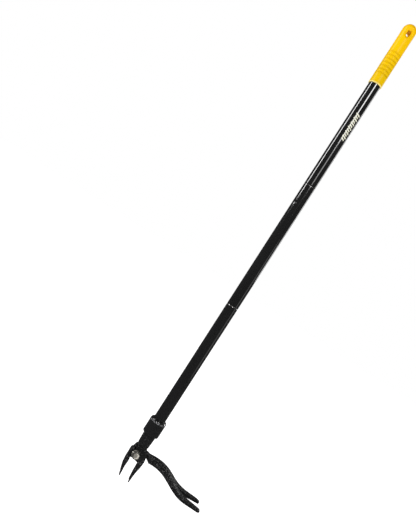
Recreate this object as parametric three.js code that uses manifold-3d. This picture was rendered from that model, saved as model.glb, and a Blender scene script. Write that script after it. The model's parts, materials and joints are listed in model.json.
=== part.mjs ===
// Stand-up weeder: a two-handed pole with a plastic grip, and a plier-like claw worked by a foot lever.
// Lengths are in millimetres. +Z runs up the pole, +X points out along the foot lever, and the pivot
// pin runs along Y. The origin is the centre of the hang hole in the grip, so the tool hangs below it.

import * as THREE from 'three';
import { mergeVertices } from 'three/addons/utils/BufferGeometryUtils.js';
import Module from 'manifold-3d';

// ---- Driving dimensions ----
const GAP = 0.3; // clearance between pieces that touch
const POLE_R = 11; // outer radius of the tube
const WALL = 1.2; // tube wall
const GRIP_R = 12.7;
const GRIP_TOP = 20; // end of the grip above the hang hole
const GRIP_BOTTOM = -104;
const GRIP_BORE_TOP = -18; // the tube stops here, below the hang hole
const HANG_HOLE = { width: 7, height: 12 };
const UPPER_JOINT = -315; // where the top and middle sections meet
const LOWER_JOINT = -566; // where the middle and lower sections meet
const FERRULE_TOP = -804;
const FERRULE_LENGTH = 31;
const FERRULE_R = 15.4;
const POLE_DEPTH = 24; // how far the pole goes into the ferrule
const NECK_TOP_R = 12;
const NECK_END_R = 11;
const NECK_LENGTH = 24;
const SHOULDER_TO_PIVOT = 41.5; // ferrule's lower edge to the pivot pin
const PIVOT_X = -3; // the pin sits off the pole's axis, away from the lever
const OPEN_ANGLE = THREE.MathUtils.degToRad(18); // swing of the lever between closed and open claws
const CLAW_REACH = 50; // pivot pin to the tips of the fixed tines
const TINE_Y = 7; // tines stand this far either side of the middle plane
const TONGUE_BACK = -7.5; // the head's flat tongue, along Y
const TONGUE_FRONT = 0;
const CHEEK_BACK = 0.4; // the lever's cheek plate beside it
const CHEEK_FRONT = 8;
const CHEEK_TOP_R = 16.4; // top of the cheek about the pin, just under the neck
const HUB_R = 12.6; // bridge between the curved claws
const TONGUE_R = 8.6;
const LEVER_REACH = 147; // pivot pin to the fork's end, with the claws closed
const FORK_WIDTH = 48;
const FORK_SLOT = 58; // length of the notch between the prongs
const NOTCH_HALF = 13.6; // half the notch's width, just past the prongs
const BOLT_R = 4;
const HEX_R = 13 / 2 / Math.cos(Math.PI / 6); // 13 mm across flats
const BUSH_R = 6;
const THREAD_R = 6; // M12 joints of the pole
const INSERT_FLANGE = 1.2;
const STUD_GRIP = 30; // length of a stud's body in its tube
const SOCKET_DEPTH = 44; // length of a socket's body in its tube
const THREAD_LENGTH = 24;

// ---- Worked out from them ----
const FERRULE_BOTTOM = FERRULE_TOP - FERRULE_LENGTH;
const PIVOT_Z = FERRULE_BOTTOM - SHOULDER_TO_PIVOT;
const POLE_END = FERRULE_TOP - POLE_DEPTH;
const TUBE_BORE_R = POLE_R - WALL;
const INSERT_R = TUBE_BORE_R - GAP;
const SOCKET_BORE_R = THREAD_R + GAP;
const FERRULE_BORE_R = POLE_R + GAP;
const SCREW_Z = FERRULE_BOTTOM + 4;
const SCREW_R = 2.5;

const wasm = await Module();
wasm.setup();

// ---- Materials ----
const material = (color, roughness, metalness) =>
  new THREE.MeshStandardMaterial({ color, roughness, metalness });
const yellowPlastic = material(0xf7c800, 0.35, 0);
const blackPaint = material(0x17171a, 0.28, 0.35);
const castPaint = material(0x222224, 0.45, 0.4);
const zinc = material(0xd4d2cc, 0.28, 0.95);
const plainSteel = material(0x9c9c9c, 0.4, 0.9);
const nylon = material(0x3f74b8, 0.5, 0);

// ---- Solids ----
function solid(geometry) {
  const bare = geometry.clone();
  bare.deleteAttribute('normal');
  bare.deleteAttribute('uv');
  const merged = mergeVertices(bare, 1e-4);
  return new wasm.Manifold(
    new wasm.Mesh({
      numProp: 3,
      vertProperties: new Float32Array(merged.attributes.position.array),
      triVerts: new Uint32Array(merged.index.array),
    }),
  );
}

function geometryOf(body) {
  const mesh = body.getMesh();
  const geometry = new THREE.BufferGeometry();
  geometry.setAttribute('position', new THREE.BufferAttribute(mesh.vertProperties, 3));
  geometry.setIndex(new THREE.BufferAttribute(mesh.triVerts, 1));
  geometry.computeVertexNormals();
  return geometry;
}

function named(name, body, finish) {
  const mesh = new THREE.Mesh(geometryOf(body), finish);
  mesh.name = name;
  return mesh;
}

const joined = (bodies) => bodies.reduce((whole, body) => whole.add(body));

// A turned solid about Z: each profile point is [radius, z], from the lower end to the upper end.
function turned(profile, segments = 36) {
  const points = profile.map(([radius, z]) => new THREE.Vector2(radius, z));
  return solid(new THREE.LatheGeometry(points, segments).rotateX(Math.PI / 2));
}

const rod = (radius, low, high, segments = 36) =>
  turned([[0, low], [radius, low], [radius, high], [0, high]], segments);

const tube = (outer, inner, low, high, segments = 36) =>
  turned([[inner, low], [outer, low], [outer, high], [inner, high], [inner, low]], segments);

// A cylinder along Y between two faces.
function pinY(radius, low, high, segments = 32) {
  const geometry = new THREE.CylinderGeometry(radius, radius, high - low, segments);
  return solid(geometry.translate(0, (low + high) / 2, 0));
}

// An outline in the XZ plane, given thickness from one Y to another.
function plate(outline, low, high) {
  const geometry = new THREE.ExtrudeGeometry(outline, {
    depth: high - low,
    bevelEnabled: false,
    curveSegments: 10,
  });
  return solid(geometry.rotateX(Math.PI / 2).translate(0, high, 0));
}

// A bar swept along a curve in the XZ plane. height is measured across the curve in that plane and
// width along Y, each as a function of the share of the way along, and middle is the width's centre.
function bar(points, steps, height, width, middle) {
  const SIDES = 16;
  const ROUNDNESS = 0.42; // share of a superellipse: 1 is an ellipse, 0 a rectangle
  const curve = new THREE.CatmullRomCurve3(points.map(([x, z]) => new THREE.Vector3(x, 0, z)));
  const positions = [];
  const triangles = [];
  for (let step = 0; step <= steps; step++) {
    const share = step / steps;
    const centre = curve.getPointAt(share);
    const along = curve.getTangentAt(share);
    for (let side = 0; side < SIDES; side++) {
      const angle = ((side + 0.5) / SIDES) * 2 * Math.PI;
      const across = Math.sign(Math.cos(angle)) * Math.abs(Math.cos(angle)) ** ROUNDNESS;
      const sideways = Math.sign(Math.sin(angle)) * Math.abs(Math.sin(angle)) ** ROUNDNESS;
      positions.push(
        centre.x - (along.z * across * height(share)) / 2,
        middle(share) + (sideways * width(share)) / 2,
        centre.z + (along.x * across * height(share)) / 2,
      );
      if (step < steps) {
        const here = step * SIDES + side;
        const next = step * SIDES + ((side + 1) % SIDES);
        triangles.push(here, here + SIDES, next, next, here + SIDES, next + SIDES);
      }
    }
  }
  const last = steps * SIDES;
  for (let side = 1; side < SIDES - 1; side++) {
    triangles.push(0, side, side + 1);
    triangles.push(last, last + side + 1, last + side);
  }
  const geometry = new THREE.BufferGeometry();
  geometry.setAttribute('position', new THREE.Float32BufferAttribute(positions, 3));
  geometry.setIndex(triangles);
  return solid(geometry);
}

const between = (low, high, share) => low + (high - low) * share;
const { smoothstep } = THREE.MathUtils;

// ---- Grip and pole ----
function grip() {
  const profile = [[0, GRIP_BOTTOM], [GRIP_R - 1.2, GRIP_BOTTOM], [GRIP_R, GRIP_BOTTOM + 1.2]];
  const domeBase = GRIP_TOP - GRIP_R;
  for (let turn = 0; turn <= 8; turn++) {
    const angle = (turn / 8) * (Math.PI / 2);
    profile.push([GRIP_R * Math.cos(angle), domeBase + GRIP_R * Math.sin(angle)]);
  }
  profile[profile.length - 1][0] = 0;
  const slot = new THREE.Shape();
  const radius = HANG_HOLE.width / 2;
  const straight = HANG_HOLE.height / 2 - radius;
  slot.absarc(0, straight, radius, 0, Math.PI, false);
  slot.absarc(0, -straight, radius, Math.PI, 2 * Math.PI, false);
  return turned(profile, 40)
    .subtract(rod(POLE_R + GAP, GRIP_BOTTOM - 5, GRIP_BORE_TOP + GAP))
    .subtract(plate(slot, -GRIP_R - 5, GRIP_R + 5));
}

// The male half of a screwed joint: a plain body fixed in the tube above, and its thread below.
const jointStud = (z) =>
  turned([
    [0, z - THREAD_LENGTH],
    [THREAD_R - 1, z - THREAD_LENGTH],
    [THREAD_R, z - THREAD_LENGTH + 1],
    [THREAD_R, z + GAP],
    [INSERT_R, z + GAP],
    [INSERT_R, z + STUD_GRIP],
    [0, z + STUD_GRIP],
  ]);

// The female half: a tapped body fixed in the tube below, with a thin flange between the tubes.
const jointSocket = (z) =>
  turned([
    [0, z - SOCKET_DEPTH],
    [INSERT_R, z - SOCKET_DEPTH],
    [INSERT_R, z - INSERT_FLANGE - GAP],
    [POLE_R - 0.4, z - INSERT_FLANGE],
    [POLE_R - 0.4, z],
    [SOCKET_BORE_R, z],
    [SOCKET_BORE_R, z - THREAD_LENGTH - 2],
    [0, z - THREAD_LENGTH - 2],
  ]);

const section = (low, high) => tube(POLE_R, TUBE_BORE_R, low, high);

// ---- Ferrule and what joins the pole to the head ----
function ferrule() {
  const EDGE = 4; // round of the upper edge
  const LOWER_EDGE = 1.6;
  const profile = [
    [FERRULE_BORE_R, FERRULE_BOTTOM],
    [FERRULE_R - LOWER_EDGE, FERRULE_BOTTOM],
    [FERRULE_R - 0.3 * LOWER_EDGE, FERRULE_BOTTOM + 0.3 * LOWER_EDGE],
    [FERRULE_R, FERRULE_BOTTOM + LOWER_EDGE],
  ];
  for (let turn = 0; turn <= 4; turn++) {
    const angle = (turn / 4) * (Math.PI / 2);
    profile.push([
      FERRULE_R - EDGE + EDGE * Math.cos(angle),
      FERRULE_TOP - EDGE + EDGE * Math.sin(angle),
    ]);
  }
  profile.push([FERRULE_BORE_R, FERRULE_TOP], [FERRULE_BORE_R, FERRULE_BOTTOM]);
  return turned(profile).subtract(screwSpace(SCREW_R + GAP, FERRULE_R + 5));
}

// The space of the set screw, from inside the casting's spigot out to a given distance from the axis.
function screwSpace(radius, reach) {
  const inner = POLE_R - 3;
  const geometry = new THREE.CylinderGeometry(radius, radius, reach - inner, 20);
  return solid(geometry.rotateZ(Math.PI / 2).translate((inner + reach) / 2, 0, SCREW_Z));
}

function setScrew() {
  const outer = FERRULE_R - 0.4;
  const inner = POLE_R - 2.6;
  const body = new THREE.CylinderGeometry(SCREW_R, SCREW_R, outer - inner, 20);
  const key = new THREE.CylinderGeometry(1.4, 1.4, 4, 6);
  body.rotateZ(Math.PI / 2).translate((inner + outer) / 2, 0, SCREW_Z);
  key.rotateZ(Math.PI / 2).translate(outer, 0, SCREW_Z);
  return solid(body).subtract(solid(key));
}

const poleNut = () => tube(INSERT_R, SOCKET_BORE_R, POLE_END + GAP, POLE_END + 22);
const headStud = () => rod(THREAD_R, POLE_END - 26, POLE_END + 24);

// ---- Head casting: spigot, tapered neck, flat tongue and two straight tines ----
function neck() {
  const shoulder = FERRULE_BOTTOM - GAP;
  const end = shoulder - NECK_LENGTH;
  const EDGE = 3.5; // round of the lower end
  return turned([
    [0, end],
    [NECK_END_R - EDGE, end],
    [NECK_END_R - 0.3 * EDGE, end + 0.3 * EDGE],
    [NECK_END_R, end + EDGE],
    [NECK_TOP_R, shoulder - 1],
    [NECK_TOP_R - 0.6, shoulder],
    [POLE_R, shoulder],
    [POLE_R, POLE_END - GAP],
    [0, POLE_END - GAP],
  ]);
}

// Tongue in the XZ plane, about the pivot pin: round under the pin, with a lobe towards the lever.
function tongueOutline() {
  const outline = new THREE.Shape();
  outline.moveTo(-4.4, 26);
  outline.lineTo(-4.4, 18.5);
  outline.quadraticCurveTo(-5.2, 13, -5.6, 6.5);
  outline.absarc(0, 0, TONGUE_R, THREE.MathUtils.degToRad(131), THREE.MathUtils.degToRad(262), false);
  outline.lineTo(12, -12);
  outline.lineTo(12.4, -20);
  outline.lineTo(19, -20);
  outline.quadraticCurveTo(20.4, -15, 20.5, -7);
  outline.quadraticCurveTo(20.5, 2, 16.2, 9);
  outline.quadraticCurveTo(13.6, 14, 12.2, 18.5);
  outline.lineTo(12.2, 26);
  outline.closePath();
  return outline;
}

function straightTine(sign) {
  const points = [[15.7, -11], [15.5, -21], [15.1, -32], [15.2, -42], [15.5, -CLAW_REACH]];
  const height = (share) => between(8.8, 2.2, share ** 0.85);
  const width = (share) => between(5.6, 2, share ** 1.5);
  return bar(points, 14, height, width, () => sign * TINE_Y);
}

// The bar that carries both tines. The lever's cheek comes to rest on its upper face when the claws open.
function crossBar() {
  const outline = new THREE.Shape();
  outline.moveTo(12.4, -20);
  outline.lineTo(12.2, -11);
  outline.quadraticCurveTo(12.2, -9.8, 13.4, -9.6);
  outline.lineTo(17.8, -8.9);
  outline.quadraticCurveTo(19.6, -8.6, 19.6, -10.4);
  outline.lineTo(19, -20);
  outline.closePath();
  return plate(outline, -TINE_Y - 2, TINE_Y + 2);
}

function headCasting() {
  const lower = joined([
    plate(tongueOutline(), TONGUE_BACK, TONGUE_FRONT),
    straightTine(-1),
    straightTine(1),
    crossBar(),
  ]).subtract(pinY(BOLT_R + GAP, -20, 20));
  return neck()
    .add(lower.translate([PIVOT_X, 0, PIVOT_Z]))
    .subtract(rod(THREAD_R + GAP, POLE_END - 28, POLE_END + 5))
    .subtract(screwSpace(SCREW_R + GAP, FERRULE_R));
}

// ---- Lever casting: cheek plate, curved claws and forked foot lever, with the claws closed ----
function cheekOutline() {
  const outline = new THREE.Shape();
  outline.moveTo(30, 18.4);
  outline.quadraticCurveTo(20, 15.4, 14.6, 15.8);
  outline.absarc(0, 0, CHEEK_TOP_R, THREE.MathUtils.degToRad(60), THREE.MathUtils.degToRad(130), false);
  outline.lineTo(-12.6, 12.2);
  outline.lineTo(-12.2, -0.8);
  outline.absarc(0, 0, HUB_R, THREE.MathUtils.degToRad(186), THREE.MathUtils.degToRad(214), false);
  outline.lineTo(-5.6, -14);
  outline.quadraticCurveTo(-4.4, -15.2, -2.5, -14.2);
  outline.lineTo(19.4, -2.6);
  outline.lineTo(24, 2);
  outline.closePath();
  return outline;
}

// The open corner under the root of the foot lever, beside the fixed tines.
function rootNotch() {
  const outline = new THREE.Shape();
  outline.moveTo(19.6, -8);
  outline.lineTo(19, 6.6);
  outline.lineTo(28.2, 4.2);
  outline.lineTo(34, -8);
  outline.closePath();
  return plate(outline, -20, 20);
}

// The curved bridge that carries both claws past the edge of the tongue.
function bridge() {
  const from = THREE.MathUtils.degToRad(150);
  const to = THREE.MathUtils.degToRad(222);
  const outline = new THREE.Shape();
  outline.absarc(0, 0, HUB_R, from, to, false);
  outline.absarc(0, 0, TONGUE_R + 0.6, to, from, true);
  outline.closePath();
  return plate(outline, -TINE_Y - 2.6, CHEEK_FRONT);
}

function curvedClaw(sign) {
  const points = [
    [-11.7, 1], [-11.2, -2.5], [-8.9, -7.2], [-5.8, -12.4], [-3, -18.9], [1.2, -30], [6.4, -39.4],
    [10.4, -46.6],
  ];
  const THICKEST = 0.39;
  const height = (share) => {
    if (share < THICKEST) return between(3.2, 8, smoothstep(share, 0.05, THICKEST));
    return between(8, 2.2, ((share - THICKEST) / (1 - THICKEST)) ** 1.25);
  };
  const width = (share) => between(5.6, 2, share ** 1.5);
  return bar(points, 20, height, width, () => sign * TINE_Y);
}

function footLever() {
  const points = [
    [4, -2], [14, 4], [25.3, 10], [37.5, 14.4], [49.6, 17], [61.5, 17.6], [74.5, 16.2],
    [87.5, 14.2], [100.5, 13.3], [112.6, 14.4], [124.6, 17.2], [135.7, 20.2], [LEVER_REACH, 23],
  ];
  const rounded = (share) => 1 - 0.1 * smoothstep(share, 0.965, 1);
  const height = (share) => between(16.4, 5, smoothstep(share, 0, 1)) * rounded(share);
  const width = (share) => between(7.6, FORK_WIDTH, smoothstep(share, 0.1, 0.8)) * rounded(share);
  const middle = (share) => between((CHEEK_BACK + CHEEK_FRONT) / 2, 0, smoothstep(share, 0.18, 0.6));
  return bar(points, 36, height, width, middle);
}

// The notch between the prongs: a wedge with a round apex, cut square through the lever.
function forkNotch() {
  const apex = LEVER_REACH - FORK_SLOT;
  const outline = new THREE.Shape();
  outline.moveTo(LEVER_REACH + 5, -NOTCH_HALF);
  outline.lineTo(LEVER_REACH + 5, NOTCH_HALF);
  outline.lineTo(apex + 1.2, 1.4);
  outline.quadraticCurveTo(apex - 0.8, 0, apex + 1.2, -1.4);
  outline.closePath();
  const geometry = new THREE.ExtrudeGeometry(outline, { depth: 60, bevelEnabled: false, curveSegments: 8 });
  return solid(geometry.translate(0, 0, -25));
}

function leverCasting() {
  return joined([
    plate(cheekOutline(), CHEEK_BACK, CHEEK_FRONT),
    bridge(),
    curvedClaw(-1),
    curvedClaw(1),
    footLever(),
  ])
    .subtract(pinY(BUSH_R + GAP, -20, 20))
    .subtract(rootNotch())
    .subtract(forkNotch());
}

// ---- Pivot hardware, about the pin ----
const WASHER = 1.6;
const WASHER_R = 7.5;
const NUT_HEIGHT = 8;
const headWasherFace = TONGUE_BACK - GAP;
const nutWasherFace = CHEEK_FRONT + GAP;

const washerAt = (low) => pinY(WASHER_R, low, low + WASHER).subtract(pinY(BOLT_R + GAP, -30, 30));

function pivotBolt() {
  const headFace = headWasherFace - WASHER - GAP;
  const head = new THREE.CylinderGeometry(HEX_R, HEX_R, 5.3, 6).translate(0, headFace - 5.3 / 2, 0);
  const stem = pinY(BOLT_R, headFace - 1, nutWasherFace + WASHER + GAP + NUT_HEIGHT + 1.4);
  return solid(head).add(stem);
}

function lockNut() {
  const low = nutWasherFace + WASHER + GAP;
  const hexagon = new THREE.CylinderGeometry(HEX_R, HEX_R, NUT_HEIGHT - 2, 6);
  const body = solid(hexagon.translate(0, low + (NUT_HEIGHT - 2) / 2, 0));
  const crown = pinY(6.1, low + 1, low + NUT_HEIGHT);
  const seat = pinY(5.4, low + NUT_HEIGHT - 2.6, low + NUT_HEIGHT + 1);
  return body.add(crown).subtract(seat).subtract(pinY(BOLT_R + GAP, low - 1, low + NUT_HEIGHT));
}

function nutRing() {
  const low = nutWasherFace + WASHER + NUT_HEIGHT - 2;
  return pinY(5.1, low, low + 2).subtract(pinY(BOLT_R + GAP, -30, 30));
}

const pivotBush = () =>
  pinY(BUSH_R, CHEEK_BACK, CHEEK_FRONT).subtract(pinY(BOLT_R + GAP, -20, 20));

// ---- The tool ----
const group = new THREE.Group();
group.add(
  named('grip', grip(), yellowPlastic),
  named('pole_top', section(UPPER_JOINT + GAP, GRIP_BORE_TOP), blackPaint),
  named('pole_middle', section(LOWER_JOINT + GAP, UPPER_JOINT - INSERT_FLANGE - GAP), blackPaint),
  named('pole_lower', section(POLE_END, LOWER_JOINT - INSERT_FLANGE - GAP), blackPaint),
  named('joint_stud_upper', jointStud(UPPER_JOINT), plainSteel),
  named('joint_stud_lower', jointStud(LOWER_JOINT), plainSteel),
  named('joint_socket_upper', jointSocket(UPPER_JOINT), plainSteel),
  named('joint_socket_lower', jointSocket(LOWER_JOINT), plainSteel),
  named('pole_end_nut', poleNut(), plainSteel),
  named('head_stud', headStud(), plainSteel),
  named('socket_ferrule', ferrule(), blackPaint),
  named('ferrule_set_screw', setScrew(), plainSteel),
  named('head_casting', headCasting(), castPaint),
);

const pivot = new THREE.Group();
pivot.position.set(PIVOT_X, 0, PIVOT_Z);
pivot.add(
  named('pivot_bolt', pivotBolt(), zinc),
  named('washer_bolt_head', washerAt(headWasherFace - WASHER), zinc),
  named('washer_nut', washerAt(nutWasherFace), zinc),
  named('lock_nut', lockNut(), zinc),
  named('lock_nut_ring', nutRing(), nylon),
);
group.add(pivot);

// The lever is drawn closed and swung open to its stop, which is how the tool rests.
const swing = new THREE.Group();
swing.rotation.y = OPEN_ANGLE;
swing.add(named('jaw_lever', leverCasting(), castPaint), named('pivot_bush', pivotBush(), plainSteel));
pivot.add(swing);

export default group;
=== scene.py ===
"""Looks of the stand-up weeder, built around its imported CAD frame.

Metres, +Z up the pole, +X along the foot lever. The mesh helpers work in millimetres, which are scaled
once, when a mesh becomes an object.
"""

import json
import math

import bmesh
import bpy
from mathutils import Matrix, Vector

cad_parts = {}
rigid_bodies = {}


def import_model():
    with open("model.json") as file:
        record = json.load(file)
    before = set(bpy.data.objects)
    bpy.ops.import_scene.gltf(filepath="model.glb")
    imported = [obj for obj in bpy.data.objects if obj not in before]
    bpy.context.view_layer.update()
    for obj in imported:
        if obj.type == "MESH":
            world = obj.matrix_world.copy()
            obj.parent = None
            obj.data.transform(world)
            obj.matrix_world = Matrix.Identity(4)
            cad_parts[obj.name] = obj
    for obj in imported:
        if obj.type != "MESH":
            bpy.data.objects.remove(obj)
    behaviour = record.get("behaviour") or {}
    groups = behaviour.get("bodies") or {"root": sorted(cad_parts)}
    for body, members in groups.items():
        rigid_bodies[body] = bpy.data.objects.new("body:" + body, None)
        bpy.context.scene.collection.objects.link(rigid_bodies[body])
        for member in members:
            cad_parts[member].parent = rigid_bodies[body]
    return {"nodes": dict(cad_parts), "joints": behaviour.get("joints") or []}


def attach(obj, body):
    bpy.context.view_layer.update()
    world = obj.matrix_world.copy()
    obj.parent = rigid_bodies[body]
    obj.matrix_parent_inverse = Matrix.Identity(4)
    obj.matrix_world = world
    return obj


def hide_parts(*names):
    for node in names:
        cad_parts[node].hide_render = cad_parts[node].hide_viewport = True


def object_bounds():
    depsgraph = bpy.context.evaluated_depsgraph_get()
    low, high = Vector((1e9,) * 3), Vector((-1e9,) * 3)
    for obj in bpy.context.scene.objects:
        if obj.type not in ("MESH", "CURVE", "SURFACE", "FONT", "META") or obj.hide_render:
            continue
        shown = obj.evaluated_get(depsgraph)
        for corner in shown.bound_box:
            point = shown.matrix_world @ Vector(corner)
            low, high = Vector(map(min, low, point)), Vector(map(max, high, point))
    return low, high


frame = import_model()
CAD_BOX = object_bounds()
MM = 0.001

# ---- Dimensions, in millimetres, the same as the CAD frame's ----
GRIP_R = 12.7
GRIP_TOP = 20.0
GRIP_BOTTOM = -104.0
GRIP_BORE_TOP = -18.0
HANG_SLOT_R, HANG_SLOT_HALF = 3.5, 2.5
POLE_R = 11.0
TUBE_BORE_R = 9.8
UPPER_JOINT = -315.0
LOWER_JOINT = -566.0
FLANGE = 1.2
GAP = 0.3
FERRULE_TOP = -804.0
FERRULE_BOTTOM = -835.0
FERRULE_R = 15.4
POLE_END = FERRULE_TOP - 24.0
NECK_LENGTH = 24.0
NECK_TOP_R = 12.0
NECK_END_R = 11.0
SCREW_Z = FERRULE_BOTTOM + 4.0
TINE_Y = 7.0
TONGUE_BACK, TONGUE_FRONT = -7.5, 0.0
CHEEK_BACK, CHEEK_FRONT = 0.4, 8.0
CHEEK_TOP_R = 16.4
HUB_R = 12.6
TONGUE_R = 8.6
CLAW_REACH = 50.0
LEVER_REACH = 147.0
FORK_WIDTH = 48.0
FORK_SLOT = 58.0
NOTCH_HALF = 13.6
OPEN_ANGLE = math.radians(18)
BOLT_R = 4.0
BUSH_R = 6.0
HEX_FLATS = 13.0
WASHER_THICK = 1.6
PIVOT = Vector(frame["joints"][0]["pos_m"]) / MM

# ---- Finer detail, in millimetres ----
GRIP_BAND = 2.2  # height of the full-width band at the grip's lower end
GRIP_INSET = 0.25  # how far the grip's body stands in from that band
GRIP_SKIN_R = 11.9  # points outside this radius belong to the grip's outer skin
GRIP_LIT_LOW, GRIP_LIT_HIGH = -75.0, -30.0  # painted light: the yellow is painted brighter between these heights
GRIP_TIP_LOW = -10.0  # and turns more orange from here to the top
GROOVES_LOW, GROOVES_HIGH = -87.0, -37.0
GROOVE_PITCH = 7.2
GROOVE_DEPTH = 0.95
DISH_DEPTH = 4.3  # hollow round each mouth of the hang hole
DISH_ACROSS, DISH_ALONG = 5.2, 7.8
DISH_FLOOR, DISH_RIM = 0.62, 1.5  # shares of those two, where the dish is deepest and where it ends
BROAD_SIDE = 4.0  # the dishes lie past this distance from the grip's middle plane
PRINT_BARS, PRINT_LOW = 12, -216.5
PRINT_PITCH, PRINT_BAR, PRINT_SLANT = 4.5, 2.7, 3.0
CRIMP_R, CRIMP_DEPTH = 3.2, 0.6
UPPER_CRIMPS = UPPER_JOINT - 38.0
LOWER_CRIMPS = LOWER_JOINT - 33.0
FERRULE_RIM = 4.1  # radii of its upper and lower edges
FERRULE_LOWER_RIM = 1.8
FERRULE_GLINTS = FERRULE_TOP - 4.4  # the height round which its edge is chipped to metal; the bright chips there are also painted glints
GLINT_BAND = 1.6  # the chipped band, painted glints too, reaches this far from it
GLINT_CHIPS_FULL, GLINT_CHIPS_END = 45.0, 85.0  # the lever's bright chips, painted glints, fade out between these distances along X
LIT_R, SHADED_R = 4.4, 5.6  # the bolt head keeps its plating inside the first radius and is painted dark outside the second, as painted shade
SCREW_HOLE_R = 2.75
SOCKET_R = 1.45
THREAD_PITCH, THREAD_ROOT_R = 0.62, 3.62
CAST_VOXEL = 0.42
CAST_ROUNDS = 3  # a count of smoothing passes

# ---- Camera, in metres: square to the pole, rolled so that the tool lies along the picture's diagonal ----
CAMERA_AT = (-0.1321, -0.9825, -0.5086)
CAMERA_FORWARD = (0.0496, 0.9987, -0.0080)
CAMERA_RIGHT = (0.8404, -0.0374, 0.5407)
CAMERA_LENS, CAMERA_SENSOR = 39.2, 36.0

# ---- Surround: strengths, then lengths in metres ----
SEEN_WHITE = 1.0  # the surround as the camera sees it
SOFT_FILL = 0.11  # the surround as the pieces see it
FLOOR_GLOW = 0.92
FLOOR_R = 14.0
FLOOR_DROP = 0.002


def make_camera():
    data = bpy.data.cameras.new("camera")
    data.lens = CAMERA_LENS
    data.sensor_width = CAMERA_SENSOR
    camera = bpy.data.objects.new("camera", data)
    bpy.context.scene.collection.objects.link(camera)
    forward = Vector(CAMERA_FORWARD).normalized()
    right = Vector(CAMERA_RIGHT)
    right = (right - forward * right.dot(forward)).normalized()
    up = right.cross(forward)
    turn = Matrix((right, up, -forward)).transposed().to_4x4()
    camera.matrix_world = Matrix.Translation(CAMERA_AT) @ turn
    data.clip_start = 0.01
    data.clip_end = 60.0
    bpy.context.scene.camera = camera


# ---- Node helpers ----
class Shader:
    """A material's node tree with short ways to add and link nodes."""

    def __init__(self, name):
        self.material = bpy.data.materials.new(name)
        self.material.use_nodes = True
        self.nodes = self.material.node_tree.nodes
        self.links = self.material.node_tree.links
        self.main = self.nodes["Principled BSDF"]
        self.place = self.nodes.new("ShaderNodeTexCoord").outputs["Object"]

    def node(self, kind, inputs=(), **settings):
        made = self.nodes.new(kind)
        for key, value in settings.items():
            setattr(made, key, value)
        for key, value in dict(inputs).items():
            self.put(made.inputs[key], value)
        return made

    def put(self, socket, value):
        if isinstance(value, bpy.types.NodeSocket):
            self.links.new(value, socket)
        else:
            socket.default_value = value

    def noise(self, scale, detail=4.0, roughness=0.55, stretch=(1, 1, 1)):
        where = self.node("ShaderNodeMapping", {"Vector": self.place, "Scale": stretch}).outputs[0]
        inputs = {"Vector": where, "Scale": scale, "Detail": detail, "Roughness": roughness}
        return self.node("ShaderNodeTexNoise", inputs).outputs["Fac"]

    def cells(self, scale, feature="F1"):
        made = self.node("ShaderNodeTexVoronoi", {"Vector": self.place, "Scale": scale}, feature=feature)
        return made.outputs["Distance"]

    def axis(self, letter):
        """The object's own X, Y or Z, in metres."""
        return self.node("ShaderNodeSeparateXYZ", {0: self.place}).outputs[letter]

    def pointiness(self):
        return self.node("ShaderNodeNewGeometry").outputs["Pointiness"]

    def ramp(self, value, low, high, start=0.0, end=1.0):
        inputs = {"Value": value, "From Min": low, "From Max": high, "To Min": start, "To Max": end}
        return self.node("ShaderNodeMapRange", inputs).outputs["Result"]

    def maths(self, operation, a, b=0.0):
        return self.node("ShaderNodeMath", {0: a, 1: b}, operation=operation).outputs[0]

    def times(self, *factors):
        result = factors[0]
        for factor in factors[1:]:
            result = self.maths("MULTIPLY", result, factor)
        return result

    def band(self, value, low, low_full, high_full, high):
        """One between the two full values, falling to nothing at low and high."""
        return self.times(self.ramp(value, low, low_full), self.ramp(value, high, high_full))

    def mix(self, share, a, b):
        made = self.node("ShaderNodeMix", data_type="RGBA")
        self.put(made.inputs["Factor"], share)
        self.put(made.inputs["A"], a)
        self.put(made.inputs["B"], b)
        return made.outputs["Result"]

    def edges(self, low, high):
        """Convex edges of the mesh, where paint wears; on the castings these worn edges also stand for
        painted edge highlights.
        """
        return self.ramp(self.pointiness(), low, high)

    def bump(self, height, strength, distance, below=None):
        inputs = {"Height": height, "Strength": strength, "Distance": distance}
        if below is not None:
            inputs["Normal"] = below
        return self.node("ShaderNodeBump", inputs).outputs["Normal"]

    def finish(self, **values):
        for key, value in values.items():
            self.put(self.main.inputs[key.replace("_", " ")], value)
        return self.material


def grey(value):
    """A grey a little on the blue side."""
    return (value, value, value * 1.04, 1.0)


def gloss_paint(name="gloss_black_coat", rim=None):
    """Gloss black powder coat: orange peel, dust and dull patches.

    Where rim is given, as a height, the coat is chipped to metal in a narrow band round it; these bright
    chips are also painted glints along the rounded edge.
    """
    s = Shader(name)
    peel = s.noise(900.0, 2.0)
    patches = s.noise(35.0, 5.0, stretch=(1, 1, 0.25))
    dust = s.ramp(s.noise(2600.0, 1.0), 0.70, 0.78)
    scuffs = s.ramp(s.noise(240.0, 3.0, stretch=(3, 3, 0.12)), 0.66, 0.80)
    base = s.mix(s.ramp(patches, 0.35, 0.7), grey(0.0035), grey(0.0062))
    base = s.mix(s.times(dust, 0.12), base, grey(0.16))
    base = s.mix(s.times(s.edges(0.54, 0.66), 0.35), base, grey(0.08))
    rough = s.ramp(patches, 0.3, 0.75, 0.08, 0.13)
    rough = s.maths("ADD", rough, s.times(scuffs, 0.12))
    normal = s.bump(peel, 0.07, 0.0002)
    normal = s.bump(scuffs, 0.08, 0.0001, normal)
    if rim is None:
        return s.finish(Base_Color=base, Roughness=rough, Normal=normal, Specular_IOR_Level=0.9)
    # The chipped band also paints the glints along the ferrule's rounded edge.
    outer, inner = GLINT_BAND * MM, GLINT_BAND * MM / 2
    middle = rim * MM
    band = s.band(s.axis("Z"), middle - outer, middle - inner, middle + inner, middle + outer)
    chips_and_glints = s.times(band, s.ramp(s.noise(560.0, 5.0, 0.7), 0.48, 0.62))
    base = s.mix(chips_and_glints, base, grey(0.42))
    return s.finish(Base_Color=base, Metallic=s.times(chips_and_glints, 0.4), Roughness=rough, Normal=normal,
                    Specular_IOR_Level=0.9)


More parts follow.
